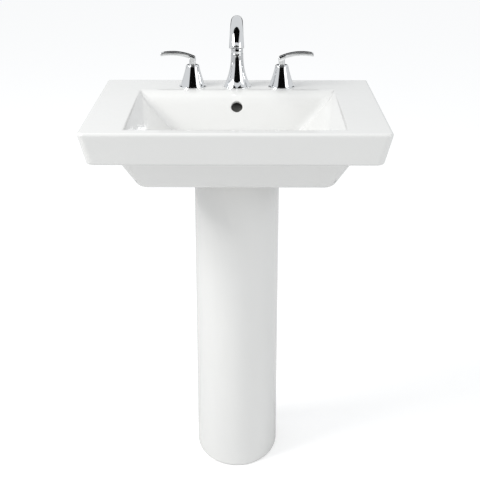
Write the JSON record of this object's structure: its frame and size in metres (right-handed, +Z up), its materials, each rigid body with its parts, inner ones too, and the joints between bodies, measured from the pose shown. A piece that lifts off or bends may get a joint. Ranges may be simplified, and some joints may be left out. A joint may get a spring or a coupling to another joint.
{
  "type": "pedestal sink",
  "caption": "White china basin with a wide flat rim on an open-backed column, with a widespread tap set, a pop-up drain and a trap.",
  "frame": {"origin": "on the floor under the middle of the basin's footprint, half its depth from the wall", "axes": "+Z up, +Y towards the wall behind the sink, +X to the right of a person who uses it"},
  "size_m": [0.61, 0.508, 1.0335],
  "materials": {
    "china": "high gloss glaze",
    "chrome": "polished",
    "brass": "machined",
    "rubber": "matt",
    "plastic": "satin",
    "steel": "satin"
  },
  "bodies": {
    "fixed": {"basin": "china", "pedestal": "china", "spout_base": "chrome", "spout_gasket": "rubber", "spout_shank": "brass", "spout_washer": "steel", "spout_nut": "brass", "hot_bell": "chrome", "hot_valve": "brass", "hot_cartridge": "plastic", "hot_bonnet": "brass", "hot_washer": "rubber", "hot_nut": "brass", "cold_bell": "chrome", "cold_valve": "brass", "cold_cartridge": "plastic", "cold_bonnet": "brass", "cold_washer": "rubber", "cold_nut": "brass", "hot_hose": "steel", "cold_hose": "steel", "hose_nuts": "steel", "drain_flange": "chrome", "drain_body": "chrome", "drain_gasket": "rubber", "drain_washer": "steel", "drain_locknut": "brass", "pivot_seat": "plastic", "pivot_nut": "chrome", "tailpiece": "chrome", "trap_bend": "chrome", "trap_inlet_nut": "chrome", "trap_inlet_washer": "plastic", "trap_outlet_nut": "chrome", "trap_outlet_washer": "plastic", "trap_arm": "chrome"},
    "spout_arm": {"spout": "chrome", "spout_ring": "chrome", "aerator": "chrome", "aerator_screen": "steel"},
    "hot_lever": {"hot_handle": "chrome", "hot_stem": "brass", "hot_screw": "steel"},
    "cold_lever": {"cold_handle": "chrome", "cold_stem": "brass", "cold_screw": "steel"},
    "lift": {"lift_knob": "chrome", "lift_rod": "chrome", "clevis": "chrome", "clevis_screw": "brass"},
    "pivot": {"pivot_rod": "chrome", "spring_clip": "steel"},
    "plug": {"stopper": "chrome", "stopper_seal": "rubber"}
  },
  "joints": [
    {"name": "hot_handle_turn", "type": "hinge", "parent": "fixed", "child": "hot_lever", "pos_m": [-0.1016, 0.18, 0.914], "axis": [0, 0, 1], "range_deg": [0, 90]},
    {"name": "cold_handle_turn", "type": "hinge", "parent": "fixed", "child": "cold_lever", "pos_m": [0.1016, 0.18, 0.914], "axis": [0, 0, 1], "range_deg": [-90, 0]},
    {"name": "spout_swivel", "type": "hinge", "parent": "fixed", "child": "spout_arm", "pos_m": [0, 0.18, 0.939], "axis": [0, 0, 1], "range_deg": [-60, 60]},
    {"name": "lift_rod_slide", "type": "slide", "parent": "fixed", "child": "lift", "axis": [0, 0, 1], "range_m": [0, 0.038]},
    {"name": "pivot_rod_turn", "type": "hinge", "parent": "fixed", "child": "pivot", "pos_m": [0, 0.029, 0.655], "axis": [1, 0, 0], "range_deg": [0, 12.6]},
    {"name": "stopper_slide", "type": "slide", "parent": "fixed", "child": "plug", "axis": [0, 0, 1], "range_m": [-0.0059, 0]}
  ],
  "couplings": [
    {"joint": "pivot_rod_turn", "follows": "lift_rod_slide", "rad_per_m": 5.7471},
    {"joint": "stopper_slide", "follows": "lift_rod_slide", "ratio": -0.15517}
  ]
}
